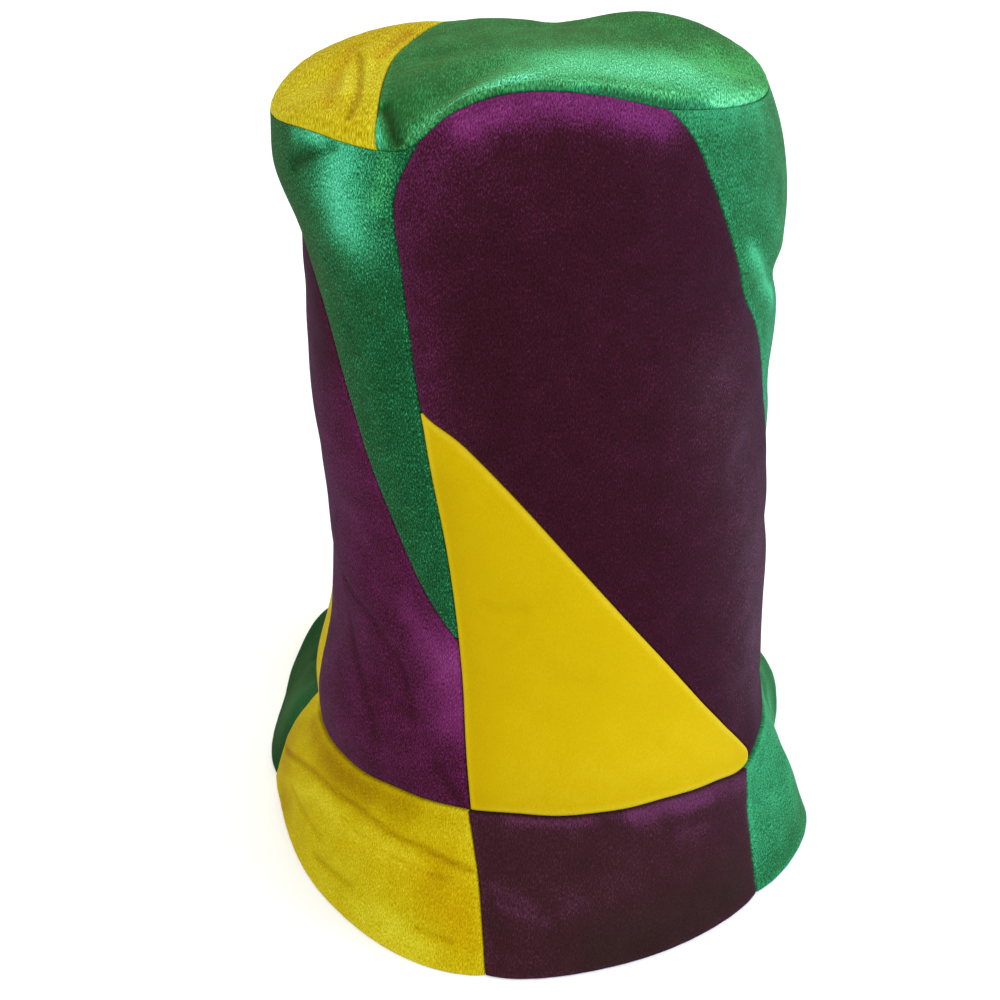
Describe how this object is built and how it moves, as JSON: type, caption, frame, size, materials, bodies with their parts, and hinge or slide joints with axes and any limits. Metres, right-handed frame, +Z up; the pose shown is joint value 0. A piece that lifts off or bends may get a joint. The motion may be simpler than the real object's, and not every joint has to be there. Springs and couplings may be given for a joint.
{
  "type": "stovepipe hat",
  "caption": "Soft stovepipe hat pieced from padded velvet patches: a leaning tube crown with diagonal stripes, a vaulted top and a flared skirt brim.",
  "frame": {"origin": "on the surface the brim rests on, below the middle of the bounding box", "axes": "+Z up from the resting surface, -Y towards the front of the hat, +X towards its right as seen from the front"},
  "size_m": [0.2468, 0.2902, 0.3368],
  "materials": {
    "gold_velvet": "panne velvet on foam, golden yellow pile with a soft sheen",
    "purple_velvet": "panne velvet on foam, deep purple pile with a soft sheen",
    "green_velvet": "panne velvet on foam, emerald green pile with a soft sheen"
  },
  "bodies": {
    "root": {"crown_front_gold": "gold_velvet", "crown_front_purple": "purple_velvet", "crown_front_green": "green_velvet", "crown_back_gold": "gold_velvet", "crown_back_purple": "purple_velvet", "crown_back_green": "green_velvet", "top_gold": "gold_velvet", "top_green": "green_velvet", "brim_gold": "gold_velvet", "brim_purple": "purple_velvet", "brim_green_right": "green_velvet", "brim_purple_back": "purple_velvet", "brim_green_left": "green_velvet"}
  },
  "joints": []
}
